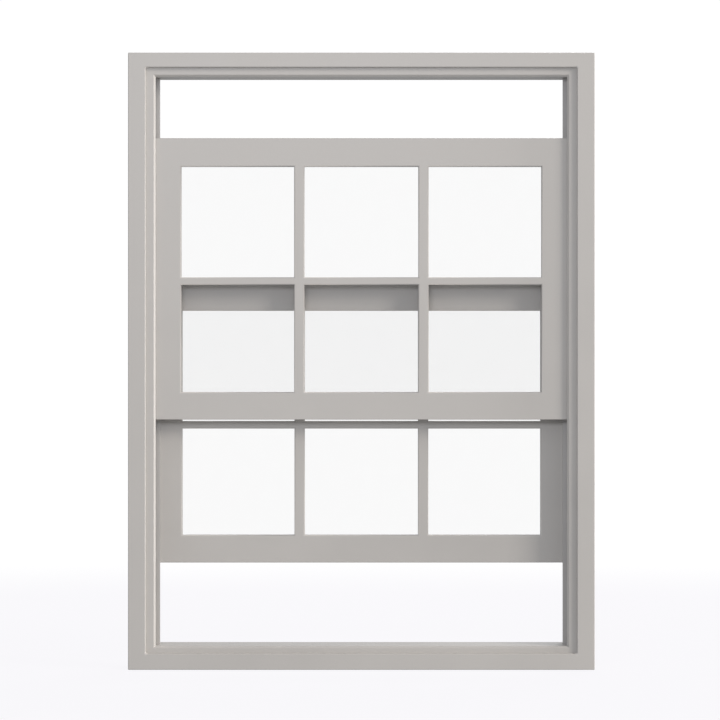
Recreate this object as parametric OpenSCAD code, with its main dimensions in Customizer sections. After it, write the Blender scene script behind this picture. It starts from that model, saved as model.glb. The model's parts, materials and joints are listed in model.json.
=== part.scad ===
// Double-hung timber sash window: a frame with two glazed sashes that slide up and down.
// Millimetres. +Z is up, the outside face of the window looks along -Y, and +X is to the right.
// The origin is at the bottom centre of the window. Depths are counted back from the outside face.

/* [Frame] */
// overall width of the frame
frame_w = 915; // [700:1:1400]
// overall height of the frame
frame_h = 1210; // [1000:1:1800]
// how far the frame runs on behind the staff bead
back_margin = 2.5; // [0:0.5:20]
// width of the flat outside face on each jamb
jamb_face = 34.4; // [28:0.1:60]
// height of the flat outside face on the head
head_face = 28.8; // [24:0.1:60]
// height of the flat outside face on the sill
sill_face = 31.5; // [24:0.1:70]
// depth of the step from the outside face back to the stop
recess_d = 10; // [4:0.5:14]
// how far the stop stands in from the jamb
stop_w = 19; // [12:0.5:24]
// thickness of the stop, front to back
stop_d = 11.5; // [9:0.5:16]
// how far the head comes down behind the step
head_drop = 17.5; // [8:0.5:40]
// how far the sill stands up behind the step
sill_rise = 14; // [8:0.5:40]
// radius of the stop's front edge
stop_round = 4; // [1:0.5:6]

/* [Beads] */
// thickness of the parting bead between the two sashes
parting_d = 8; // [6:0.5:12]
// how far the parting bead stands in from the jamb
parting_w = 25.5; // [18:0.5:30]
// depth of the parting bead's groove in the jamb
parting_groove = 6; // [4:0.5:10]
// thickness of the staff bead on the room side
staff_d = 14; // [10:0.5:20]
// how far the staff bead stands in from the jamb
staff_w = 22.8; // [16:0.1:30]

/* [Sashes] */
// thickness of both sashes
sash_d = 35; // [32:0.5:45]
// gap between a sash and what guides it, front and back
slide_gap = 0.5; // [0.3:0.1:2]
// gap between a sash's edge and the jamb
side_gap = 3.1; // [1:0.1:5]
// width of a stile, up to the glass
stile_w = 65.7; // [45:0.1:90]
// height of the upper sash's top rail
upper_top_rail = 56; // [40:0.5:90]
// height of the upper sash's bottom rail
upper_bottom_rail = 54; // [35:0.5:90]
// height of the lower sash's top rail
lower_top_rail = 65.8; // [35:0.1:90]
// height of the lower sash's bottom rail
lower_bottom_rail = 54.4; // [40:0.1:110]
// how much taller the lower sash is than the upper one
lower_extra = 10.2; // [0:0.1:60]
// gap left above the closed upper sash
head_gap = 0.3; // [0.2:0.1:2]
// gap left under the closed lower sash
sill_gap = 0.5; // [0.2:0.1:2]
// gap between the two sashes' edges when both are closed
meeting_gap = 0.6; // [0.3:0.1:3]
// how far the upper sash hangs below its closed place at rest
upper_open = 120; // [0:1:300]
// how far the lower sash is raised above its closed place at rest
lower_open = 160.5; // [0:0.5:300]

/* [Glazing] */
// width of the two upright glazing bars
upright_bar_w = 20.3; // [18:0.1:40]
// height of the level glazing bar
cross_bar_w = 14.8; // [14:0.1:40]
// how far the level bar sits below the middle of the upper sash's glass
upper_bar_drop = 3.3; // [-60:0.1:60]
// how far the level bar sits below the middle of the lower sash's glass
lower_bar_drop = 3.9; // [-60:0.1:60]
// how much wider the middle panes are than the outer ones
middle_extra = 2; // [0:0.1:40]
// depth of the glass behind the sash's outside face
glass_setback = 12; // [8:0.5:16]
// thickness of the glass
glass_t = 4; // [3:0.5:6]
// width of the rebate that holds the glass
rebate_w = 4.3; // [3.5:0.1:5]
// gap between a pane's edge and its rebate
pane_gap = 0.8; // [0.5:0.1:1.5]
// radius of the edges round the glass
glass_round = 2.6; // [0.5:0.1:4]

/* [Joinery] */
// thickness of the rails' tenons
tenon_d = 12; // [8:0.5:14]
// length of the rails' tenons
tenon_l = 36; // [15:1:40]
// how much lower the tenon is than its rail, at each edge
tenon_shoulder = 12; // [6:0.5:16]
// length of the glazing bars' stub tenons
stub_l = 4; // [2:0.5:6]
// thickness of the jambs' tenons, side to side
jamb_tenon_w = 14; // [8:1:20]
// length of the jambs' tenons
jamb_tenon_l = 12; // [6:1:18]

/* [Balances] */
// diameter of a balance tube
tube_dia = 15; // [12:0.5:16]
// wall of a balance tube
tube_wall = 1; // [0.6:0.1:1.5]
// gap between a tube and the jamb it is fixed to
tube_seat = 0.2; // [0.1:0.1:0.5]
// gap round a tube in the sash's groove
tube_clear = 1.5; // [1:0.1:3]
// length of the plug that closes a tube's top
plug_l = 12; // [10:0.5:20]
// how far the tube's foot stays above the sash's foot when the sash is at the top
tube_foot = 25; // [18:1:50]
// how far the tube's top stays below the top of the closed sash
tube_head = 17.3; // [12:0.1:60]
// diameter of the spiral rod
rod_dia = 5; // [4:0.5:6]
// length of rod that stays in the tube when the sash is fully down
rod_hold = 15; // [8:1:40]
// length of the foot bracket's plate
bracket_l = 36; // [28:1:45]
// thickness of the foot bracket's plate
bracket_t = 2.5; // [1.5:0.5:4]

/* [Fittings] */
// width of a brush seal
seal_w = 5; // [4:0.5:7]
// depth of a brush seal's groove
seal_groove = 4; // [3:0.5:6]
// distance of each sash lift from the window's middle
lift_x = 200; // [80:5:280]
// width of a sash lift
lift_w = 70; // [50:1:110]
// how far a sash lift stands out from the sash
lift_out = 14; // [10:0.5:15]
// height of a sash lift's back plate
lift_h = 32; // [28:1:44]
// thickness of a sash lift's plates
lift_t = 3; // [2:0.5:4]

/* [Fixing holes] */
// radius of the holes through the jambs
fix_r = 4; // [3:0.25:5]
// radius of the holes' countersinks
fix_sink_r = 6; // [5:0.25:7]
// distance of the holes' centres in front of the bead behind them
fix_edge = 7; // [6:0.5:9]
// height of the lower holes above the window's foot
fix_low = 180; // [120:5:300]
// distance of the upper holes below the window's top
fix_high = 180; // [120:5:300]

/* [Hidden] */
$fn = 48;
eps = 0.01;
over = 2;                                     // how far a cutter runs past what it cuts

half_w = frame_w / 2;
jamb_in = half_w - jamb_face;                 // X of the track's floor
stop_in = jamb_in - stop_w;
parting_in = jamb_in - parting_w;
staff_in = jamb_in - staff_w;
head_low = frame_h - head_face - head_drop;   // Z of the head's underside
sill_top = sill_face + sill_rise;             // Z of the sill's top
clear_h = head_low - sill_top;

upper_y = recess_d + stop_d + slide_gap;      // depth of the upper sash's outside face
parting_y = upper_y + sash_d + slide_gap;
lower_y = parting_y + parting_d + slide_gap;  // depth of the lower sash's outside face
staff_y = lower_y + sash_d + slide_gap;
frame_d = staff_y + staff_d + back_margin;
front = -frame_d / 2;                         // Y of the outside face

sash_half = jamb_in - side_gap;
stile_in = sash_half - stile_w;
sashes_h = clear_h - head_gap - meeting_gap - sill_gap;
upper_h = (sashes_h - lower_extra) / 2;
lower_h = upper_h + lower_extra;
upper_closed = head_low - head_gap - upper_h;
lower_closed = sill_top + sill_gap;
upper_z = upper_closed - upper_open;          // Z of the upper sash's bottom edge at rest
lower_z = lower_closed + lower_open;          // Z of the lower sash's bottom edge at rest

outer_light_w = (2 * stile_in - 2 * upright_bar_w - middle_extra) / 3;
bar_x = stile_in - outer_light_w - upright_bar_w / 2;  // X of the upright bars' centres
bead_d = sash_d - glass_setback - glass_t - 1;

tube_r = tube_dia / 2;
tube_x = jamb_in - tube_seat - tube_r;
groove_w = tube_dia + 2 * tube_clear;
groove_in = tube_x - tube_r - tube_clear;     // X of the groove's floor in a stile
tube_l = upper_h - tube_foot - tube_head;
rod_start = 1;                                // the rod's foot above the sash's bottom edge
rod_top_gap = 3;                              // between the rod's top and the plug, sash fully up
rod_l = tube_l - plug_l - rod_top_gap + tube_foot - rod_start;
travel = tube_l - plug_l - rod_top_gap - rod_hold;
upper_tube_z = upper_closed + tube_foot;
lower_tube_z = lower_closed + travel + tube_foot;

screw_r = 1.8;
screw_head_r = 3.6;
screw_clear = 0.15;
tube_screw_l = 26;
bracket_screw_l = 20;
lift_screw_l = 16;
boss_r = 4.6;
boss_h = 12;
fit_gap = 0.1;                                // round a rod, pin or screw that doesn't move

paint = [0.74, 0.725, 0.71];
bead_paint = [0.70, 0.69, 0.68];
steel = [0.62, 0.63, 0.65];
pile = [0.30, 0.30, 0.31];
clear_glass = [0.86, 0.90, 0.90];

// ---- shared shapes ----

// a box given by its limits: X, depth behind the outside face, and Z
module block(x, d, z) {
    translate([x[0], front + d[0], z[0]])
        cube([x[1] - x[0], d[1] - d[0], z[1] - z[0]]);
}

// both the left and the right copy of a piece drawn on the right
module both_sides() {
    children();
    mirror([1, 0, 0]) children();
}

// the outline of an opening cut straight back, its front edges rounded over
module rounded_cut_outline(lo, hi, depth, r) {
    translate([lo, 0]) square([hi - lo, depth]);
    difference() {
        translate([lo - r, -over]) square([hi - lo + 2 * r, r + over]);
        for (x = [lo - r, hi + r])
            translate([x, r]) circle(r = r);
        for (x = [lo - 2 * r, hi])
            translate([x, r]) square([2 * r, r]);
    }
}

// an opening through X and Z limits that starts at depth d, with rounded front edges all round
module rounded_opening(x, z, d, depth, r) {
    intersection() {
        translate([0, front + d, z[0] - r])
            linear_extrude(z[1] - z[0] + 2 * r)
                rounded_cut_outline(x[0], x[1], depth, r);
        translate([x[0] - r, front + d, 0])
            rotate([90, 0, 90])
                linear_extrude(x[1] - x[0] + 2 * r)
                    mirror([1, -1]) rounded_cut_outline(z[0], z[1], depth, r);
    }
}

// a countersunk screw along +Z, its head's flat at the origin
module screw(length) {
    cylinder(r1 = screw_head_r, r2 = screw_r, h = screw_head_r - screw_r);
    cylinder(r = screw_r, h = length - screw_r);
    translate([0, 0, length - screw_r]) cylinder(r1 = screw_r, r2 = 0.3, h = screw_r);
}

// the hole for that screw, a little larger all round
module screw_hole(length) {
    translate([0, 0, -over])
        cylinder(r = screw_head_r + screw_clear, h = over + eps);
    cylinder(r1 = screw_head_r + screw_clear, r2 = screw_r + screw_clear, h = screw_head_r - screw_r);
    cylinder(r = screw_r + screw_clear, h = length + 0.5);
}

// ---- frame ----

// the window's opening: wide in the recess, narrower at the stop, and wide again in the tracks
module frame_opening() {
    block([-jamb_in, jamb_in], [-over, recess_d], [sill_face, frame_h - head_face]);
    rounded_opening([-stop_in, stop_in], [sill_top, head_low], recess_d, stop_d + eps, stop_round);
    block([-jamb_in, jamb_in], [recess_d + stop_d, frame_d + over], [sill_top, head_low]);
}

// what a jamb's tenon fills in the head or the sill, drawn on the right
module jamb_tenon(z) {
    middle = jamb_in + jamb_face / 2;
    block([middle - jamb_tenon_w / 2, middle + jamb_tenon_w / 2],
        [recess_d + stop_d, frame_d - recess_d - stop_d], z);
}

module frame_head() {
    color(paint) difference() {
        union() {
            block([-half_w, half_w], [0, recess_d], [frame_h - head_face, frame_h]);
            block([-half_w, half_w], [recess_d, frame_d], [head_low, frame_h]);
        }
        frame_opening();
        both_sides() jamb_tenon([head_low - over, head_low + jamb_tenon_l]);
    }
}

module frame_sill() {
    color(paint) difference() {
        union() {
            block([-half_w, half_w], [0, recess_d], [0, sill_face]);
            block([-half_w, half_w], [recess_d, frame_d], [0, sill_top]);
        }
        frame_opening();
        both_sides() jamb_tenon([sill_top - jamb_tenon_l, sill_top + over]);
    }
}

// a fixing hole through the jamb at a depth and a height, countersunk in the track
module fixing_hole(d, z) {
    sink = fix_sink_r - fix_r;
    translate([jamb_in - over, front + d, z]) rotate([0, 90, 0]) {
        cylinder(r = fix_r, h = jamb_face + 2 * over);
        cylinder(r = fix_sink_r, h = over);
        translate([0, 0, over]) cylinder(r1 = fix_sink_r, r2 = fix_r, h = sink);
    }
}

module jamb() {
    difference() {
        union() {
            block([jamb_in, half_w], [0, recess_d], [sill_face, frame_h - head_face]);
            block([stop_in, half_w], [recess_d, recess_d + stop_d], [sill_top, head_low]);
            block([jamb_in, half_w], [recess_d + stop_d, frame_d], [sill_top, head_low]);
            jamb_tenon([sill_top - jamb_tenon_l, head_low + jamb_tenon_l]);
        }
        frame_opening();
        block([jamb_in - over, jamb_in + parting_groove], [parting_y, parting_y + parting_d],
            [sill_top, head_low]);
        seal_strip(seal_x, recess_d + stop_d - seal_groove, seal_groove + over, 0);
        for (d = [parting_y - fix_edge, staff_y - fix_edge])
            for (z = [fix_low, frame_h - fix_high])
                fixing_hole(d, z);
        for (place = tube_places)
            tube_screw_at(place) screw_hole(tube_screw_l);
    }
}

module frame_jamb_left() {
    color(paint) mirror([1, 0, 0]) jamb();
}

module frame_jamb_right() {
    color(paint) jamb();
}

module parting_bead() {
    block([parting_in, jamb_in + parting_groove], [parting_y, parting_y + parting_d],
        [sill_top, head_low]);
}

module parting_bead_left() {
    color(bead_paint) mirror([1, 0, 0]) parting_bead();
}

module parting_bead_right() {
    color(bead_paint) parting_bead();
}

// a staff bead: its room-side inner edge is a quarter round
module staff_bead() {
    r = staff_d / 2;
    difference() {
        block([staff_in, jamb_in], [staff_y, staff_y + staff_d], [sill_top, head_low]);
        translate([0, 0, sill_top - over]) difference() {
            translate([staff_in - over, front + staff_y + staff_d - r, 0])
                cube([r + over, r + over, clear_h + 2 * over]);
            translate([staff_in + r, front + staff_y + staff_d - r, 0])
                cylinder(r = r, h = clear_h + 2 * over);
        }
        seal_strip(seal_x, staff_y - over, seal_groove + over, 0);
    }
}

module staff_bead_left() {
    color(bead_paint) mirror([1, 0, 0]) staff_bead();
}

module staff_bead_right() {
    color(bead_paint) staff_bead();
}

// a brush seal, or its groove: an upright strip at X x, from depth d back by deep
seal_x = stop_in + 5;
seal_out = slide_gap - 0.3;                   // how far the pile stands out of its groove
module seal_strip(x, d, deep, inset) {
    block([x, x + seal_w], [d, d + deep], [sill_top + inset, head_low - inset]);
}

module brush_seals() {
    color(pile) both_sides() {
        seal_strip(seal_x, recess_d + stop_d - seal_groove, seal_groove + seal_out, eps);
        seal_strip(seal_x, staff_y - seal_out, seal_groove + seal_out, eps);
    }
}

// ---- balances: a tube on the jamb, a spring in it, and a rod that leads down to the sash's foot ----

upper_tube_y = upper_y + sash_d / 2;
lower_tube_y = lower_y + sash_d / 2;
tube_places = [[upper_tube_y, upper_tube_z], [lower_tube_y, lower_tube_z]];

module tube_screw_at(place) {
    translate([tube_x - tube_r + 0.6, front + place[0], place[1] + tube_l - plug_l / 2])
        rotate([0, 90, 0]) children();
}

// the tube with its plugged top, drawn on the right
module tube(place) {
    difference() {
        translate([tube_x, front + place[0], place[1]]) difference() {
            cylinder(r = tube_r, h = tube_l);
            translate([0, 0, -over])
                cylinder(r = tube_r - tube_wall, h = tube_l - plug_l + over);
        }
        tube_screw_at(place) screw_hole(tube_screw_l);
    }
}

module tube_upper_left() {
    color(steel) mirror([1, 0, 0]) tube(tube_places[0]);
}

module tube_upper_right() {
    color(steel) tube(tube_places[0]);
}

module tube_lower_left() {
    color(steel) mirror([1, 0, 0]) tube(tube_places[1]);
}

module tube_lower_right() {
    color(steel) tube(tube_places[1]);
}

// the coil spring in each tube, as the sleeve of space that it fills
module balance_springs() {
    color(steel) both_sides()
        for (place = tube_places)
            translate([tube_x, front + place[0], place[1] + over]) difference() {
                cylinder(r = tube_r - tube_wall - 0.3, h = tube_l - plug_l - over - 0.3);
                translate([0, 0, -over])
                    cylinder(r = tube_r - tube_wall - 2.3, h = tube_l + 2 * over);
            }
}

module tube_screws() {
    color(steel) both_sides()
        for (place = tube_places)
            tube_screw_at(place) screw(tube_screw_l);
}

// ---- sashes: each is described by [bottom Z, depth, height, top rail, bottom rail, bar drop] ----

upper_sash = [upper_z, upper_y, upper_h, upper_top_rail, upper_bottom_rail, upper_bar_drop];
lower_sash = [lower_z, lower_y, lower_h, lower_top_rail, lower_bottom_rail, lower_bar_drop];

function glass_low(s) = s[0] + s[4];
function glass_high(s) = s[0] + s[2] - s[3];
function bar_z(s) = (glass_low(s) + glass_high(s)) / 2 - s[5];
function light_z(s, row) = row == 0
    ? [bar_z(s) + cross_bar_w / 2, glass_high(s)]
    : [glass_low(s), bar_z(s) - cross_bar_w / 2];
function light_x(column) = [
    [-stile_in, -stile_in + outer_light_w],
    [-bar_x + upright_bar_w / 2, bar_x - upright_bar_w / 2],
    [stile_in - outer_light_w, stile_in]
][column];
function grown(limits, by) = [limits[0] - by, limits[1] + by];

// the six openings of a sash: rounded outside edges, then the rebate for the glass
module lights(s) {
    for (column = [0:2])
        for (row = [0:1]) {
            rounded_opening(light_x(column), light_z(s, row), s[1], glass_setback + eps, glass_round);
            block(grown(light_x(column), rebate_w), [s[1] + glass_setback, s[1] + sash_d + over],
                grown(light_z(s, row), rebate_w));
        }
}

// the tenons of a rail between Z limits, drawn for both ends
module rail_tenons(s, z) {
    middle = s[1] + sash_d / 2 - 1;
    block(grown([-stile_in, stile_in], tenon_l), [middle - tenon_d / 2, middle + tenon_d / 2],
        grown(z, -tenon_shoulder));
}

// the depth limits of the glazing bars' stub tenons
function stub_d(s) = [s[1] + 3, s[1] + glass_setback - 1];

module upright_bar_tenons(s) {
    for (x = [-bar_x, bar_x])
        block(grown([x, x], upright_bar_w / 4), stub_d(s),
            grown([glass_low(s), glass_high(s)], stub_l));
}

module cross_bar_tenons(s) {
    for (column = [0:2])
        block(grown(light_x(column), stub_l), stub_d(s), grown([bar_z(s), bar_z(s)], cross_bar_w / 4));
}

module top_rail(s) {
    z = [glass_high(s), s[0] + s[2]];
    color(paint) difference() {
        union() {
            block([-stile_in, stile_in], [s[1], s[1] + sash_d], z);
            rail_tenons(s, z);
        }
        lights(s);
        upright_bar_tenons(s);
    }
}

module bottom_rail(s) {
    z = [s[0], glass_low(s)];
    color(paint) difference() {
        union() {
            block([-stile_in, stile_in], [s[1], s[1] + sash_d], z);
            rail_tenons(s, z);
        }
        lights(s);
        upright_bar_tenons(s);
        both_sides() bracket_screws_at(s) screw_hole(bracket_screw_l);
    }
}

// the places of a bracket's two screws, pointing up into the stile and the tenon in it
module bracket_screws_at(s) {
    for (x = [groove_in - 21, groove_in - 9])
        translate([x, front + s[1] + sash_d / 2, s[0]]) children();
}

// a stile on the right: mortises, the groove for the balance and the seat for its bracket
module stile(s) {
    middle = s[1] + sash_d / 2;
    difference() {
        block([stile_in, sash_half], [s[1], s[1] + sash_d], [s[0], s[0] + s[2]]);
        lights(s);
        rail_tenons(s, [glass_high(s), s[0] + s[2]]);
        rail_tenons(s, [s[0], glass_low(s)]);
        cross_bar_tenons(s);
        block([groove_in, sash_half + over], grown([middle, middle], groove_w / 2),
            [s[0] - over, s[0] + s[2] + over]);
        block([sash_half - bracket_l - fit_gap, sash_half + over],
            grown([middle, middle], groove_w / 2), [s[0] - over, s[0] + bracket_t]);
        bracket_screws_at(s) screw_hole(bracket_screw_l);
    }
}

module upright_bar(s, x) {
    color(paint) difference() {
        union() {
            block(grown([x, x], upright_bar_w / 2), [s[1], s[1] + sash_d],
                [glass_low(s), glass_high(s)]);
            intersection() {
                upright_bar_tenons(s);
                block(grown([x, x], upright_bar_w / 2), [s[1], s[1] + sash_d],
                    [s[0], s[0] + s[2]]);
            }
        }
        lights(s);
        cross_bar_tenons(s);
    }
}

module cross_bars(s) {
    color(paint) {
        difference() {
            for (column = [0:2])
                block(light_x(column), [s[1], s[1] + sash_d], grown([bar_z(s), bar_z(s)], cross_bar_w / 2));
            lights(s);
        }
        cross_bar_tenons(s);
    }
}

// pane 1 to 6: the top row from left to right, then the bottom row
module pane(s, number) {
    column = (number - 1) % 3;
    row = number > 3 ? 1 : 0;
    color(clear_glass)
        block(grown(light_x(column), rebate_w - pane_gap),
            [s[1] + glass_setback, s[1] + glass_setback + glass_t],
            grown(light_z(s, row), rebate_w - pane_gap));
}

// the outline of a glazing bead: flat on the glass, splayed towards the room
module bead_outline() {
    polygon([[0, 0], [rebate_w, 0], [rebate_w, bead_d * 0.4], [rebate_w * 0.35, bead_d], [0, bead_d]]);
}

// the four beads of one light: uprights full height, level ones between them
module light_beads(s, x, z) {
    d = s[1] + glass_setback + glass_t;
    low = z[0] - rebate_w;
    height = z[1] - z[0] + 2 * rebate_w;
    translate([x[0] - rebate_w, front + d, low])
        linear_extrude(height) bead_outline();
    translate([x[1] + rebate_w, front + d, low])
        linear_extrude(height) mirror([1, 0]) bead_outline();
    translate([x[0], front + d, low])
        rotate([90, 0, 90]) linear_extrude(x[1] - x[0]) mirror([1, -1]) bead_outline();
    translate([x[0], front + d, z[1] + rebate_w])
        mirror([0, 0, 1]) rotate([90, 0, 90])
            linear_extrude(x[1] - x[0]) mirror([1, -1]) bead_outline();
}

module glazing_beads(s) {
    color(bead_paint)
        for (column = [0:2])
            for (row = [0:1])
                light_beads(s, light_x(column), light_z(s, row));
}

module rods(s) {
    color(steel) both_sides()
        translate([tube_x, front + s[1] + sash_d / 2, s[0] + rod_start])
            cylinder(r = rod_dia / 2, h = rod_l);
}

// a foot bracket: a plate let into the stile's foot, with a boss that holds the rod
module bracket(s) {
    middle = s[1] + sash_d / 2;
    difference() {
        union() {
            block([sash_half - bracket_l, sash_half], grown([middle, middle], groove_w / 2 - fit_gap),
                [s[0], s[0] + bracket_t]);
            translate([tube_x, front + middle, s[0]]) cylinder(r = boss_r, h = boss_h);
        }
        translate([tube_x, front + middle, s[0] + rod_start])
            cylinder(r = rod_dia / 2 + fit_gap, h = boss_h + over);
        bracket_screws_at(s) screw_hole(bracket_screw_l);
    }
}

module brackets(s) {
    color(steel) both_sides() bracket(s);
}

module bracket_screws(s) {
    color(steel) both_sides() bracket_screws_at(s) screw(bracket_screw_l);
}

// ---- sash lifts on the lower sash's room side ----

lift_z = lower_z + (lower_bottom_rail - lift_h) / 2;
lift_y = lower_y + sash_d;

// the places of a lift's two screws, pointing forward into the rail
module lift_screws_at() {
    for (side = [-1, 1])
        translate([lift_x + side * lift_w * 0.3, front + lift_y + lift_t, lift_z + lift_h * 0.7])
            rotate([90, 0, 0]) children();
}

// a hook lift: a screwed back plate, a finger ledge and a turned-up lip
module sash_lift() {
    difference() {
        union() {
            block([lift_x - lift_w / 2, lift_x + lift_w / 2], [lift_y, lift_y + lift_t],
                [lift_z, lift_z + lift_h]);
            block([lift_x - lift_w / 2, lift_x + lift_w / 2], [lift_y, lift_y + lift_out],
                [lift_z, lift_z + lift_t]);
            block([lift_x - lift_w / 2, lift_x + lift_w / 2],
                [lift_y + lift_out - lift_t, lift_y + lift_out], [lift_z, lift_z + lift_t * 3]);
        }
        lift_screws_at() screw_hole(lift_screw_l);
    }
}

module sash_lift_left() {
    color(steel) mirror([1, 0, 0]) sash_lift();
}

module sash_lift_right() {
    color(steel) sash_lift();
}

module lift_screws() {
    color(steel) both_sides() lift_screws_at() screw(lift_screw_l);
}

module lower_rail_bottom() {
    difference() {
        bottom_rail(lower_sash);
        both_sides() lift_screws_at() screw_hole(lift_screw_l);
    }
}

module upper_stile_left() { color(paint) mirror([1, 0, 0]) stile(upper_sash); }
module upper_stile_right() { color(paint) stile(upper_sash); }
module lower_stile_left() { color(paint) mirror([1, 0, 0]) stile(lower_sash); }
module lower_stile_right() { color(paint) stile(lower_sash); }

// ---- what is drawn ----

frame_head();
frame_sill();
frame_jamb_left();
frame_jamb_right();
parting_bead_left();
parting_bead_right();
staff_bead_left();
staff_bead_right();
brush_seals();
tube_upper_left();
tube_upper_right();
tube_lower_left();
tube_lower_right();
balance_springs();
tube_screws();

upper_stile_left();
upper_stile_right();
top_rail(upper_sash);  // upper_rail_top
bottom_rail(upper_sash);  // upper_rail_bottom
upright_bar(upper_sash, -bar_x);  // upper_bar_left
upright_bar(upper_sash, bar_x);  // upper_bar_right
cross_bars(upper_sash);  // upper_cross_bars
pane(upper_sash, 1);  // upper_pane_1
pane(upper_sash, 2);  // upper_pane_2
pane(upper_sash, 3);  // upper_pane_3
pane(upper_sash, 4);  // upper_pane_4
pane(upper_sash, 5);  // upper_pane_5
pane(upper_sash, 6);  // upper_pane_6
glazing_beads(upper_sash);  // upper_glazing_beads
rods(upper_sash);  // upper_rods
brackets(upper_sash);  // upper_brackets
bracket_screws(upper_sash);  // upper_bracket_screws

lower_stile_left();
lower_stile_right();
top_rail(lower_sash);  // lower_rail_top
lower_rail_bottom();
upright_bar(lower_sash, -bar_x);  // lower_bar_left
upright_bar(lower_sash, bar_x);  // lower_bar_right
cross_bars(lower_sash);  // lower_cross_bars
pane(lower_sash, 1);  // lower_pane_1
pane(lower_sash, 2);  // lower_pane_2
pane(lower_sash, 3);  // lower_pane_3
pane(lower_sash, 4);  // lower_pane_4
pane(lower_sash, 5);  // lower_pane_5
pane(lower_sash, 6);  // lower_pane_6
glazing_beads(lower_sash);  // lower_glazing_beads
rods(lower_sash);  // lower_rods
brackets(lower_sash);  // lower_brackets
bracket_screws(lower_sash);  // lower_bracket_screws
sash_lift_left();
sash_lift_right();
lift_screws();
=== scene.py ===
# %% [markdown]
# A double-hung timber window, painted light grey. The sizes and places come from the packed
# construction model, so this script starts by loading it and adds only what the eye needs:
# softened edges, paint, glass, metal and brush pile.

# %% Load the construction model
import math

import bmesh
import bpy
from mathutils import Matrix, Vector
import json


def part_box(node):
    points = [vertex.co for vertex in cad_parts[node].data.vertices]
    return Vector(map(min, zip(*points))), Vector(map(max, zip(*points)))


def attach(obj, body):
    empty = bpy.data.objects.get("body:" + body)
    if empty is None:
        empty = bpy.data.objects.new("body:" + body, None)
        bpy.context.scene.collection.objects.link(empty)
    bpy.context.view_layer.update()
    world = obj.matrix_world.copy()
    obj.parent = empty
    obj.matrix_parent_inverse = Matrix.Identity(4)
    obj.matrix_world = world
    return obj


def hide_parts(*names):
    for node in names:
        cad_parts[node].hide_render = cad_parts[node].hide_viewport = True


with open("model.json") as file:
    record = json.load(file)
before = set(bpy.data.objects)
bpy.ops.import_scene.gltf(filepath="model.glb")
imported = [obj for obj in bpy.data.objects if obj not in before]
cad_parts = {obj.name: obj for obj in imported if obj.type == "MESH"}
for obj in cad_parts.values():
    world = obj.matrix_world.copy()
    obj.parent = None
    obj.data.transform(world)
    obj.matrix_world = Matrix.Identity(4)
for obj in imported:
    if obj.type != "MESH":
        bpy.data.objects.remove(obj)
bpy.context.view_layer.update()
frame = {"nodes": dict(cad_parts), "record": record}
MM = 0.001

# %% [markdown]
# The window is read from the nodes: the jambs and the head give the frame, the stiles give
# each sash, and the panes give the openings. A pane laps into its rebate by a known amount,
# so the opening that shows is the pane's box less that lap.

# %% Sizes that the construction uses, in mm
JAMB_FACE = 34.4
HEAD_FACE = 28.8
SILL_FACE = 31.5
RECESS = 10.0
STOP_THICK = 11.5
STOP_CHAMFER = 3.6
REBATE = 4.3
PANE_LAP = 3.5
GLASS_SETBACK = 12.0
GLASS_ROUND = 2.6
TUBE_GROOVE = 18.0
OUTER_EDGE = 1.6
STEP_EDGE = 2.8
SASH_EDGE = 1.0
RECESS_CORNER = 4.0
FIXING_R = 4.0
FIXING_SINK_R = 6.0
TUBE_CLEAR = 1.5
SASH_MARGIN = 20.0
OVERSHOOT = 10.0
SAME_PLACE = 1e-5

# %% [markdown]
# Every painted piece here is a board with something cut out of it. A box is cut by planes
# wherever an opening starts or ends. Cells of that grid can then be sunk to make a rebate,
# or removed front and back and bridged to make an opening. Boolean cuts would also do, but
# the grid keeps four-sided walls, and their front edges take a clean bevel.

# %% A board as a grid of cells
def board(low, high, x_cuts, z_cuts):
    """A box between two corners, cut by upright planes at x_cuts and level planes at z_cuts."""
    bm = bmesh.new()
    bmesh.ops.create_cube(bm, size=1.0)
    size = Vector(high) - Vector(low)
    middle = (Vector(high) + Vector(low)) / 2
    bmesh.ops.scale(bm, vec=size, verts=bm.verts)
    bmesh.ops.translate(bm, vec=middle, verts=bm.verts)
    for axis, cuts in ((0, x_cuts), (2, z_cuts)):
        for place in cuts:
            co = Vector((0, 0, 0))
            co[axis] = place
            no = Vector((0, 0, 0))
            no[axis] = 1
            everything = bm.verts[:] + bm.edges[:] + bm.faces[:]
            bmesh.ops.bisect_plane(bm, geom=everything, dist=1e-6, plane_co=co, plane_no=no)
    bm.normal_update()
    return bm


# %% Find, sink and open cells
def cells(bm, x, z, y, facing):
    """The faces on the plane y that face -Y (facing -1) or +Y (facing 1) inside the limits."""
    found = []
    for face in bm.faces:
        c = face.calc_center_median()
        inside = x[0] < c.x < x[1] and z[0] < c.z < z[1]
        if inside and abs(c.y - y) < SAME_PLACE and face.normal.y * facing > 0.9:
            found.append(face)
    return found


def sink(bm, x, z, y, facing, depth):
    """Push the cells inside the limits into the board by depth."""
    sunk = cells(bm, x, z, y, facing)
    made = bmesh.ops.extrude_face_region(bm, geom=sunk)
    moved = [g for g in made["geom"] if isinstance(g, bmesh.types.BMVert)]
    bmesh.ops.delete(bm, geom=sunk, context="FACES")
    bmesh.ops.translate(bm, vec=Vector((0, -facing * depth, 0)), verts=moved)
    bm.normal_update()


def open_through(bm, x, z, y_front, y_back):
    """Remove the cells on both planes inside the limits and bridge the two rims."""
    gone = cells(bm, x, z, y_front, -1) + cells(bm, x, z, y_back, 1)
    bmesh.ops.delete(bm, geom=gone, context="FACES")
    rims = [e for e in bm.edges if len(e.link_faces) == 1]
    bmesh.ops.bridge_loops(bm, edges=rims)
    bmesh.ops.recalc_face_normals(bm, faces=bm.faces)
    bm.normal_update()


# %% [markdown]
# Paint always rounds an edge a little, and joiners break every corner with sandpaper. The
# edges to soften are found by where they lie and by the two faces that they join. The
# rounded strips are shaded smooth, while flats and one-step chamfers stay flat and crisp.

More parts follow.
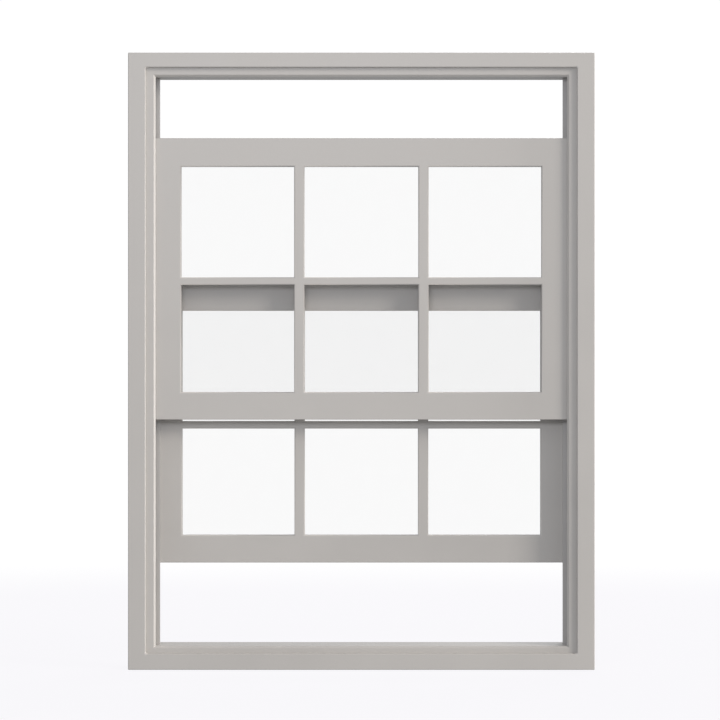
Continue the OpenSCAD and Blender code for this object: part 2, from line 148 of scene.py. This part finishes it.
# %% Round the edges that a rule picks out
def round_edges(bm, wanted, radius, steps=4):
    """Bevel every sharp edge whose middle and direction satisfy the rule."""
    chosen = []
    for edge in bm.edges:
        if len(edge.link_faces) != 2 or edge.calc_face_angle(0) < math.radians(60):
            continue
        middle = (edge.verts[0].co + edge.verts[1].co) / 2
        along = (edge.verts[1].co - edge.verts[0].co).normalized()
        if wanted(middle, along, edge):
            chosen.append(edge)
    made = bmesh.ops.bevel(
        bm, geom=chosen, offset=radius, offset_type="OFFSET", segments=steps,
        profile=0.5, affect="EDGES", material=-1, clamp_overlap=True,
    )
    for face in made["faces"]:
        face.smooth = steps > 1
    bm.normal_update()
    return len(chosen)


# %% Turn a bmesh into a piece that rides with a body
def piece(bm, name, body, stands_for, material):
    mesh = bpy.data.meshes.new(name)
    open_edges = sum(len(e.link_faces) != 2 for e in bm.edges)
    bm.to_mesh(mesh)
    bm.free()
    obj = bpy.data.objects.new(name, mesh)
    bpy.context.scene.collection.objects.link(obj)
    obj.data.materials.append(material)
    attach(obj, body)
    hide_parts(*stands_for)
    print(name, "faces", len(mesh.polygons), "open edges", open_edges)
    return obj


# %% Cut plain shapes out of a finished piece
def cut(obj, cutters):
    """Take the cutter bmeshes away from the piece by an exact boolean, and keep the result."""
    joined = bpy.data.meshes.new(obj.name + "_cutters")
    whole = bmesh.new()
    for bm in cutters:
        part = bpy.data.meshes.new("cutter")
        bm.to_mesh(part)
        bm.free()
        whole.from_mesh(part)
        bpy.data.meshes.remove(part)
    whole.to_mesh(joined)
    whole.free()
    tool = bpy.data.objects.new(obj.name + "_cutters", joined)
    bpy.context.scene.collection.objects.link(tool)
    step = obj.modifiers.new("cut", "BOOLEAN")
    step.operation = "DIFFERENCE"
    step.solver = "EXACT"
    step.object = tool
    graph = bpy.context.evaluated_depsgraph_get()
    result = bpy.data.meshes.new_from_object(obj.evaluated_get(graph))
    obj.modifiers.clear()
    old = obj.data
    obj.data = result
    bpy.data.meshes.remove(old)
    bpy.data.objects.remove(tool)
    bpy.data.meshes.remove(joined)
    print(obj.name, "after cutting:", len(result.polygons), "faces")


def box_cutter(low, high):
    bm = bmesh.new()
    bmesh.ops.create_cube(bm, size=1.0)
    bmesh.ops.scale(bm, vec=Vector(high) - Vector(low), verts=bm.verts)
    bmesh.ops.translate(bm, vec=(Vector(high) + Vector(low)) / 2, verts=bm.verts)
    return bm


# %% [markdown]
# Colours are written as the hex values that a paint chart gives. Blender works in linear
# light, so one function turns each value. Patterns are sized in millimetres: a noise texture
# shows about one blotch per unit of its scale, so the scale is one metre over the blotch.

# %% Colour and node helpers
def linear(code, alpha=1.0):
    """The linear colour of an sRGB hex value."""
    out = []
    for i in (0, 2, 4):
        v = int(code[i:i + 2], 16) / 255
        out.append(v / 12.92 if v <= 0.04045 else ((v + 0.055) / 1.055) ** 2.4)
    return (*out, alpha)


def per_mm(size):
    return 1.0 / (size * MM)


def new_material(name):
    mat = bpy.data.materials.new(name)
    mat.use_nodes = True
    mat.node_tree.nodes.clear()
    return mat, mat.node_tree


def add(tree, kind, settings=None, **links):
    """Add a node. Settings are attributes or socket values, and links come from other sockets."""
    node = tree.nodes.new(kind)
    for key, value in (settings or {}).items():
        if key in node.inputs:
            node.inputs[key].default_value = value
        else:
            setattr(node, key, value)
    for key, source in links.items():
        target = node.inputs[int(key[1:])] if key[0] == "i" and key[1:].isdigit() else node.inputs[key]
        tree.links.new(source, target)
    return node


# %% [markdown]
# The paint is a water-based satin enamel, sprayed or laid off with a fine roller over primed
# softwood. Up close it has a faint orange peel and, from one area to the next, tiny
# differences in tone and sheen. Nothing more shows, and a stronger pattern would look dirty.

# %% Satin enamel on timber
def satin_enamel(name, code, tone_shift=0.02):
    mat, tree = new_material(name)
    where = add(tree, "ShaderNodeTexCoord").outputs["Object"]
    blotch = add(tree, "ShaderNodeTexNoise", {"Scale": per_mm(160), "Detail": 3.0, "Roughness": 0.5},
                 Vector=where)
    peel = add(tree, "ShaderNodeTexNoise", {"Scale": per_mm(2.2), "Detail": 2.0, "Roughness": 0.45},
               Vector=where)
    speck = add(tree, "ShaderNodeTexNoise", {"Scale": per_mm(0.9), "Detail": 1.0, "Roughness": 0.5},
                Vector=where)
    base = linear(code)
    tone = add(tree, "ShaderNodeValToRGB", None, Fac=blotch.outputs["Fac"])
    tone.color_ramp.elements[0].position = 0.32
    tone.color_ramp.elements[1].position = 0.68
    tone.color_ramp.elements[0].color = tuple(c * (1 - tone_shift) for c in base[:3]) + (1,)
    tone.color_ramp.elements[1].color = tuple(c * (1 + tone_shift) for c in base[:3]) + (1,)
    flecked = add(tree, "ShaderNodeMapRange",
                  {"From Min": 0.3, "From Max": 0.7, "To Min": 0.985, "To Max": 1.012},
                  Value=speck.outputs["Fac"])
    colour = add(tree, "ShaderNodeVectorMath", {"operation": "SCALE"}, i0=tone.outputs["Color"],
                 Scale=flecked.outputs["Result"])
    sheen = add(tree, "ShaderNodeMapRange",
                {"From Min": 0.3, "From Max": 0.7, "To Min": 0.36, "To Max": 0.42},
                Value=blotch.outputs["Fac"])
    bump = add(tree, "ShaderNodeBump", {"Strength": 0.10, "Distance": 0.05 * MM},
               Height=peel.outputs["Fac"])
    paint = add(tree, "ShaderNodeBsdfPrincipled", {"IOR": 1.48},
                **{"Base Color": colour.outputs["Vector"], "Roughness": sheen.outputs["Result"],
                   "Normal": bump.outputs["Normal"]})
    add(tree, "ShaderNodeOutputMaterial", None, Surface=paint.outputs["BSDF"])
    return mat


ENAMEL = "BDB9B4"
BEAD_ENAMEL = "BBB8B5"
enamel = satin_enamel("satin_enamel_on_timber", ENAMEL)
bead_enamel = satin_enamel("satin_enamel_on_beads", BEAD_ENAMEL, tone_shift=0.03)
print("paint:", ENAMEL)

# %% [markdown]
# Float glass is flat and nearly colourless. Each face lets a little over nine tenths of the
# light straight through and mirrors the rest, more so at a slant. A see-through shader keeps
# what is behind in its place, and the slow ripple left by the rollers bends only the mirror.
# The mirror's share grows with the fifth power of the slant, alike on both faces of a pane.

# %% Float glass
MIRROR_SHARE = 0.022


def float_glass(name):
    mat, tree = new_material(name)
    where = add(tree, "ShaderNodeTexCoord").outputs["Object"]
    ripple = add(tree, "ShaderNodeTexNoise", {"Scale": per_mm(90), "Detail": 1.0}, Vector=where)
    film = add(tree, "ShaderNodeTexNoise", {"Scale": per_mm(25), "Detail": 4.0}, Vector=where)
    bend = add(tree, "ShaderNodeBump", {"Strength": 0.15, "Distance": 0.3 * MM},
               Height=ripple.outputs["Fac"])
    tint = add(tree, "ShaderNodeValToRGB", None, Fac=film.outputs["Fac"])
    tint.color_ramp.elements[0].color = linear("FCFCFC")
    tint.color_ramp.elements[1].color = linear("FDFDFD")
    through = add(tree, "ShaderNodeBsdfTransparent", None, Color=tint.outputs["Color"])
    mirror = add(tree, "ShaderNodeBsdfGlossy", {"Roughness": 0.03, "Color": linear("FFFFFF")},
                 Normal=bend.outputs["Normal"])
    slant = add(tree, "ShaderNodeLayerWeight", {"Blend": 0.5})
    rise = add(tree, "ShaderNodeMath", {"operation": "POWER"}, i0=slant.outputs["Facing"])
    rise.inputs[1].default_value = 5.0
    share = add(tree, "ShaderNodeMapRange", {"To Min": MIRROR_SHARE, "To Max": 1.0},
                Value=rise.outputs["Value"])
    surface = add(tree, "ShaderNodeMixShader", None, i0=share.outputs["Result"],
                  i1=through.outputs["BSDF"], i2=mirror.outputs["BSDF"])
    add(tree, "ShaderNodeOutputMaterial", None, Surface=surface.outputs["Shader"])
    return mat


glass = float_glass("clear_float_glass")

# %% [markdown]
# The balance tubes, rods, brackets and screws are zinc-plated steel, which is pale, slightly
# cloudy and half shiny. The lifts are satin nickel, brushed along their length, so they are
# warmer and streaked. Both are metals: the colour is the mirror's own colour.

# %% Plated metals
def plated_steel(name, dark, pale, rough, streak):
    mat, tree = new_material(name)
    where = add(tree, "ShaderNodeTexCoord").outputs["Object"]
    stretched = add(tree, "ShaderNodeMapping", {"Scale": (streak, 1.0, 1.0)}, Vector=where)
    cloud = add(tree, "ShaderNodeTexNoise", {"Scale": per_mm(3.0), "Detail": 4.0},
                Vector=stretched.outputs["Vector"])
    tone = add(tree, "ShaderNodeValToRGB", None, Fac=cloud.outputs["Fac"])
    tone.color_ramp.elements[0].position = 0.3
    tone.color_ramp.elements[1].position = 0.7
    tone.color_ramp.elements[0].color = linear(dark)
    tone.color_ramp.elements[1].color = linear(pale)
    dull = add(tree, "ShaderNodeMapRange",
               {"From Min": 0.3, "From Max": 0.7, "To Min": rough - 0.07, "To Max": rough + 0.07},
               Value=cloud.outputs["Fac"])
    bump = add(tree, "ShaderNodeBump", {"Strength": 0.15, "Distance": 0.03 * MM},
               Height=cloud.outputs["Fac"])
    metal = add(tree, "ShaderNodeBsdfPrincipled", {"Metallic": 1.0},
                **{"Base Color": tone.outputs["Color"], "Roughness": dull.outputs["Result"],
                   "Normal": bump.outputs["Normal"]})
    add(tree, "ShaderNodeOutputMaterial", None, Surface=metal.outputs["BSDF"])
    return mat


zinc = plated_steel("zinc_plated_steel", "B4B6B9", "CDCFD1", 0.36, 1.0)
nickel = plated_steel("brushed_satin_nickel", "ABA69D", "C6C1B8", 0.32, 0.06)

# %% [markdown]
# A brush seal is a strip of fine polypropylene fibres. At this size single fibres don't show,
# but their rows do: thin dark and pale lines across the strip, and no shine.

# %% Brush pile
def brush_pile(name):
    mat, tree = new_material(name)
    where = add(tree, "ShaderNodeTexCoord").outputs["Object"]
    rows = add(tree, "ShaderNodeTexWave",
               {"bands_direction": "Z", "Scale": per_mm(1.2) / 6.28, "Distortion": 2.0, "Detail": 2.0},
               Vector=where)
    tone = add(tree, "ShaderNodeValToRGB", None, Fac=rows.outputs["Fac"])
    tone.color_ramp.elements[0].color = linear("2E2E30")
    tone.color_ramp.elements[1].color = linear("5A5A5C")
    bump = add(tree, "ShaderNodeBump", {"Strength": 0.6, "Distance": 0.3 * MM},
               Height=rows.outputs["Fac"])
    fibre = add(tree, "ShaderNodeBsdfPrincipled", {"Roughness": 0.9, "IOR": 1.49},
                **{"Base Color": tone.outputs["Color"], "Normal": bump.outputs["Normal"]})
    add(tree, "ShaderNodeOutputMaterial", None, Surface=fibre.outputs["BSDF"])
    return mat


pile = brush_pile("polypropylene_brush_pile")

# %% [markdown]
# The frame is four members, but filler and paint hide the joints, so it is made here as one
# ring. The board is as deep as the frame. A shallow step is sunk round the opening from
# outside, the sash tracks are sunk from the room side, and what is left between the two is
# the stop, whose front edge gets the widest chamfer.

# %% Limits of the frame
head_low, head_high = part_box("frame_head")
sill_low, sill_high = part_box("frame_sill")
half_w = head_high.x
front_y = head_low.y
back_y = head_high.y
stop_in = -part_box("frame_jamb_left")[1].x
jamb_in = half_w - JAMB_FACE * MM
step_z = (sill_low.z + SILL_FACE * MM, head_high.z - HEAD_FACE * MM)
clear_z = (sill_high.z, head_low.z)
step_y = front_y + RECESS * MM
track_y = step_y + STOP_THICK * MM
print("clear opening in mm:", round(2 * stop_in / MM, 1), "by", round((clear_z[1] - clear_z[0]) / MM, 1))

# %% The frame as one painted ring
ring = board(
    (-half_w, front_y, sill_low.z), (half_w, back_y, head_high.z),
    (-jamb_in, -stop_in, stop_in, jamb_in), (*step_z, *clear_z),
)
sink(ring, (-jamb_in, jamb_in), step_z, front_y, -1, RECESS * MM)
sink(ring, (-jamb_in, jamb_in), clear_z, back_y, 1, back_y - track_y)
open_through(ring, (-stop_in, stop_in), clear_z, step_y, track_y)


# %% Soften the frame's edges
def on_stop_front(middle, along, edge):
    return (abs(middle.y - step_y) < SAME_PLACE and abs(middle.x) < stop_in + SAME_PLACE
            and clear_z[0] - SAME_PLACE < middle.z < clear_z[1] + SAME_PLACE)


def in_step_corner(middle, along, edge):
    return abs(along.y) > 0.9 and front_y < middle.y < step_y and abs(middle.x) > stop_in


def on_step_rim(middle, along, edge):
    return (abs(middle.y - front_y) < SAME_PLACE and abs(middle.x) < jamb_in + SAME_PLACE
            and step_z[0] - SAME_PLACE < middle.z < step_z[1] + SAME_PLACE)


def on_outer_rim(middle, along, edge):
    at_side = abs(abs(middle.x) - half_w) < SAME_PLACE
    at_end = min(abs(middle.z - sill_low.z), abs(middle.z - head_high.z)) < SAME_PLACE
    return at_side or at_end


print("stop edges", round_edges(ring, on_stop_front, STOP_CHAMFER * MM, 1))
print("step corners", round_edges(ring, in_step_corner, RECESS_CORNER * MM, 5))
print("step rim", round_edges(ring, on_step_rim, STEP_EDGE * MM, 1))
print("outer edges", round_edges(ring, on_outer_rim, OUTER_EDGE * MM, 4))
window_frame = piece(
    ring, "painted_frame", "frame",
    ("frame_head", "frame_sill", "frame_jamb_left", "frame_jamb_right"), enamel,
)


# %% [markdown]
# Frame screws go through the jambs into the wall. Their holes are countersunk in the tracks,
# where a closed sash hides the heads.

# %% The fixing holes
def fixing_cutter(side, y, z):
    bm = bmesh.new()
    over = OVERSHOOT * MM
    length = JAMB_FACE * MM + over
    turn = Matrix.Rotation(math.radians(90), 4, "Y")
    place = Matrix.Translation((side * (jamb_in + (length - over) / 2), y, z))
    bmesh.ops.create_cone(bm, cap_ends=True, segments=32, radius1=FIXING_R * MM,
                          radius2=FIXING_R * MM, depth=length, matrix=place @ turn)
    return bm


def sink_cutter(side, y, z):
    bm = bmesh.new()
    over = 0.3 * MM
    depth = (FIXING_SINK_R - FIXING_R) * MM + over
    turn = Matrix.Rotation(math.radians(90 * side), 4, "Y")
    place = Matrix.Translation((side * (jamb_in + depth / 2 - over), y, z))
    bmesh.ops.create_cone(bm, cap_ends=True, segments=32, radius1=FIXING_SINK_R * MM + over,
                          radius2=FIXING_R * MM, depth=depth, matrix=place @ turn)
    return bm


holes = frame["record"]["mounts"]
for mount in holes:
    if mount["kind"] != "bolt_pattern":
        continue
    side = math.copysign(1, mount["pos_m"][0])
    half_y = mount["dims"]["spacing_x_mm"] / 2 * MM
    half_z = mount["dims"]["spacing_y_mm"] / 2 * MM
    places = [(mount["pos_m"][1] + dy, mount["pos_m"][2] + dz)
              for dy in (-half_y, half_y) for dz in (-half_z, half_z)]
    cut(window_frame, [fixing_cutter(side, y, z) for y, z in places])
    cut(window_frame, [sink_cutter(side, y, z) for y, z in places])

# %% [markdown]
# A sash is also one painted board: stiles, rails and bars meet flush. Each light gets a
# rebate sunk from the room side and an opening through what is left, whose outside edge is
# rounded. The stiles' edges are grooved from top to bottom for the balance tubes.


# %% One sash as a painted board
def opening_of(node):
    low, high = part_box(node)
    lap = PANE_LAP * MM
    return (low.x + lap, high.x - lap), (low.z + lap, high.z - lap)


def grown(limits, by):
    return limits[0] - by, limits[1] + by


def sash_board(which):
    left_low, left_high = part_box(which + "_stile_left")
    right_low, right_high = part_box(which + "_stile_right")
    low = Vector((left_low.x, left_low.y, left_low.z))
    high = Vector((right_high.x, right_high.y, right_high.z))
    glass_y = low.y + GLASS_SETBACK * MM
    lights = [opening_of(f"{which}_pane_{n}") for n in range(1, 7)]
    margin = REBATE * MM
    inside = SASH_MARGIN * MM
    x_cuts = sorted({round(v, 6) for x, z in lights for v in (*x, *grown(x, margin))})
    z_cuts = sorted({round(v, 6) for x, z in lights for v in (*z, *grown(z, margin))})
    bm = board(low, high, x_cuts, z_cuts)
    for x, z in lights:
        sink(bm, grown(x, margin), grown(z, margin), high.y, 1, high.y - glass_y)
    for x, z in lights:
        open_through(bm, x, z, low.y, glass_y)

    def at_light(middle, along, edge):
        return (abs(middle.y - low.y) < SAME_PLACE
                and low.x + inside < middle.x < high.x - inside
                and low.z + inside < middle.z < high.z - inside)

    def at_outside(middle, along, edge):
        return (min(abs(middle.x - low.x), abs(middle.x - high.x)) < SAME_PLACE
                or min(abs(middle.z - low.z), abs(middle.z - high.z)) < SAME_PLACE)

    print(which, "light edges", round_edges(bm, at_light, GLASS_ROUND * MM, 5))
    print(which, "outer edges", round_edges(bm, at_outside, SASH_EDGE * MM, 3))
    return bm, low, high


# %% Both sashes, with their grooves
def make_sash(which):
    bm, low, high = sash_board(which)
    members = [which + part for part in (
        "_stile_left", "_stile_right", "_rail_top", "_rail_bottom",
        "_bar_left", "_bar_right", "_cross_bars",
    )]
    obj = piece(bm, f"painted_{which}_sash", which + "_sash", members, enamel)
    tube_low, tube_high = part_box(f"tube_{which}_right")
    over = OVERSHOOT * MM
    groove_in = tube_low.x - TUBE_CLEAR * MM
    middle = (low.y + high.y) / 2
    half = TUBE_GROOVE / 2 * MM
    out = high.x + over
    cutters = []
    for side in (-1, 1):
        ends = sorted((side * groove_in, side * out))
        cutters.append(box_cutter((ends[0], middle - half, low.z - over),
                                  (ends[1], middle + half, high.z + over)))
    cut(obj, cutters)
    return obj


upper_sash = make_sash("upper")
lower_sash = make_sash("lower")

# %% [markdown]
# The spiral rod of a balance is a flat steel strip twisted along its whole length. A short
# edge, spun once round for each turn while it climbs, sweeps that ribbon, and solidify gives
# it its thickness.


# %% Spiral rods
def spiral_rods(which, pitch=26.0, strip=4.6, thick=1.2, steps_a_turn=14):
    low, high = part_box(which + "_rods")
    inset = 0.3 * MM
    length = high.z - low.z - 2 * inset
    turns = length / (pitch * MM)
    x = (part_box(f"tube_{which}_right")[0].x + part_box(f"tube_{which}_right")[1].x) / 2
    y = (low.y + high.y) / 2
    whole = bmesh.new()
    for side in (-1, 1):
        start = [whole.verts.new((side * x + d * strip / 2 * MM, y, low.z + inset)) for d in (-1, 1)]
        edge = whole.edges.new(start)
        steps = round(turns * steps_a_turn)
        bmesh.ops.spin(whole, geom=start + [edge], cent=(side * x, y, 0), axis=(0, 0, 1),
                       dvec=(0, 0, length / steps), angle=2 * math.pi * turns, steps=steps)
    bmesh.ops.recalc_face_normals(whole, faces=whole.faces)
    bmesh.ops.solidify(whole, geom=whole.faces[:], thickness=thick / 2 * MM)
    for face in whole.faces:
        face.smooth = True
    obj = piece(whole, which + "_spiral_rods", which + "_sash", [which + "_rods"], zinc)
    obj.data.set_sharp_from_angle(angle=math.radians(45))
    return obj


spiral_rods("upper")
spiral_rods("lower")

# %% [markdown]
# The rest of the construction is already the right shape: glass, beads, tubes, brackets,
# screws, seals and lifts. They keep their own meshes and only get a finish, and the lifts
# and beads a small bevel, because pressed metal and planed wood have no knife edges.


# %% Finish the pieces that keep their own shape
def finish_node(name, material, bevel=0.0):
    obj = frame["nodes"][name]
    obj.data.materials.clear()
    obj.data.materials.append(material)
    if bevel:
        soft = obj.modifiers.new("softened", "BEVEL")
        soft.width = bevel * MM
        soft.segments = 2
        soft.limit_method = "ANGLE"
        soft.angle_limit = math.radians(50)


for name in frame["nodes"]:
    if "pane" in name:
        finish_node(name, glass)
    elif name == "brush_seals":
        finish_node(name, pile)
    elif name.startswith("sash_lift"):
        finish_node(name, nickel, 0.6)
    elif "bead" in name:
        finish_node(name, bead_enamel, 0.5)
    elif any(word in name for word in ("tube", "spring", "bracket", "screw")):
        finish_node(name, zinc)

# %% [markdown]
# The floor is pale paper that fades to plain white all round, so no horizon line shows. Its
# wall stands far enough out that a camera on any side of the window is inside it.

# %% Floor and wall
ROOM_RADIUS = 14.0
ROOM_HEIGHT = 12.0
FADE_START = 2.1
FADE_END = 4.2


def white_room():
    bm = bmesh.new()
    bmesh.ops.create_circle(bm, cap_ends=True, segments=96, radius=ROOM_RADIUS)
    rim = [e for e in bm.edges if len(e.link_faces) == 1]
    wall = bmesh.ops.extrude_edge_only(bm, edges=rim)
    raised = [g for g in wall["geom"] if isinstance(g, bmesh.types.BMVert)]
    bmesh.ops.translate(bm, vec=(0, 0, ROOM_HEIGHT), verts=raised)
    mesh = bpy.data.meshes.new("studio_room")
    bm.to_mesh(mesh)
    bm.free()
    obj = bpy.data.objects.new("studio_room", mesh)
    bpy.context.scene.collection.objects.link(obj)
    return obj


def floor_paper(name):
    """White paper that is lit evenly by itself, and takes only a trace of shadow on the floor."""
    mat, tree = new_material(name)
    where = add(tree, "ShaderNodeTexCoord").outputs["Object"]
    reach = add(tree, "ShaderNodeVectorMath", {"operation": "LENGTH"}, i0=where)
    back = add(tree, "ShaderNodeMapRange",
               {"interpolation_type": "SMOOTHSTEP", "From Min": FADE_START, "From Max": FADE_END},
               Value=reach.outputs["Value"])
    paper = add(tree, "ShaderNodeBsdfDiffuse", {"Color": linear("3C3C3C")})
    glow = add(tree, "ShaderNodeEmission", {"Color": linear("F7F6F9"), "Strength": 0.97})
    floor = add(tree, "ShaderNodeAddShader", None, i0=paper.outputs["BSDF"], i1=glow.outputs["Emission"])
    white = add(tree, "ShaderNodeEmission", {"Color": linear("FFFFFF"), "Strength": 1.02})
    surface = add(tree, "ShaderNodeMixShader", None, i0=back.outputs["Result"],
                  i1=floor.outputs["Shader"], i2=white.outputs["Emission"])
    add(tree, "ShaderNodeOutputMaterial", None, Surface=surface.outputs["Shader"])
    return mat


studio = white_room()
studio.data.materials.append(floor_paper("studio_paper"))
studio.visible_diffuse = False
studio.visible_glossy = False
studio.visible_shadow = False

# %% [markdown]
# The key light stands to the right of the camera and above it, so the stops shade the edges of
# the sashes. A smaller box by the camera opens the shadows, a narrow one far to the right draws
# the bright line along the left stop, and one behind lights the sill and the room side. The
# room itself is a soft white that grows brighter toward the ceiling.

# %% Lights
def softbox(name, place, target, width, height, power, tint):
    data = bpy.data.lights.new(name, "AREA")
    data.color = linear(tint)[:3]
    data.shape = "RECTANGLE"
    data.size = width
    data.size_y = height
    data.energy = power
    obj = bpy.data.objects.new(name, data)
    obj.location = place
    obj.rotation_mode = "QUATERNION"
    obj.rotation_quaternion = (Vector(target) - Vector(place)).to_track_quat("-Z", "Y")
    bpy.context.scene.collection.objects.link(obj)
    return obj


ROOM_LOW = 0.42
ROOM_HIGH = 0.66
SOFTBOXES = (  # name, place and size in m, power in W, tint
    ("key_softbox", (15.6, -10.9, 8.2), 7.0, 6.0, 1950.0, "FFF8F0"),
    ("front_softbox", (-0.4, -5.0, 1.7), 1.6, 0.8, 49.0, "F4F7FF"),
    ("side_softbox", (7.0, -0.9, 0.7), 1.3, 3.0, 220.0, "FFFDFA"),
    ("back_softbox", (1.5, 5.0, 4.5), 2.4, 1.6, 150.0, "FFFFFF"),
)
middle_z = (sill_low.z + head_high.z) / 2
for name, place, width, height, power, tint in SOFTBOXES:
    softbox(name, place, (0, 0, middle_z), width, height, power, tint)

world = bpy.data.worlds.new("white_room")
world.use_nodes = True
room = world.node_tree
background = room.nodes["Background"]
background.inputs["Color"].default_value = linear("F9FBFF")
upward = add(room, "ShaderNodeSeparateXYZ", None,
             Vector=add(room, "ShaderNodeTexCoord").outputs["Generated"])
ceiling = add(room, "ShaderNodeMapRange",
              {"From Min": -0.1, "From Max": 0.9, "To Min": ROOM_LOW, "To Max": ROOM_HIGH},
              Value=upward.outputs["Z"])
room.links.new(ceiling.outputs["Result"], background.inputs["Strength"])
bpy.context.scene.world = world

# %% [markdown]
# The camera looks level and straight at the window from far away, a little above its middle.
# A small downward shift, as on a view camera, keeps the uprights parallel.

# %% Camera
VIEW_WIDTH = 1411.2
DISTANCE = 7.8
EYE_Z = 0.6642
AIM_Z = 0.6074
AIM_X = -0.0027
SENSOR = 36.0
camera_data = bpy.data.cameras.new("camera")
camera = bpy.data.objects.new("camera", camera_data)
bpy.context.scene.collection.objects.link(camera)
view_width = VIEW_WIDTH * MM
camera_data.sensor_width = SENSOR
camera_data.lens = camera_data.sensor_width * DISTANCE / view_width
camera_data.shift_x = AIM_X / view_width
camera_data.shift_y = (AIM_Z - EYE_Z) / view_width
camera.location = (0, front_y - DISTANCE, EYE_Z)
camera.rotation_euler = (math.radians(90), 0, 0)
camera_data.clip_end = 60.0
bpy.context.scene.camera = camera
bpy.context.scene.view_settings.view_transform = "Standard"
print("lens in mm:", round(camera_data.lens, 1))
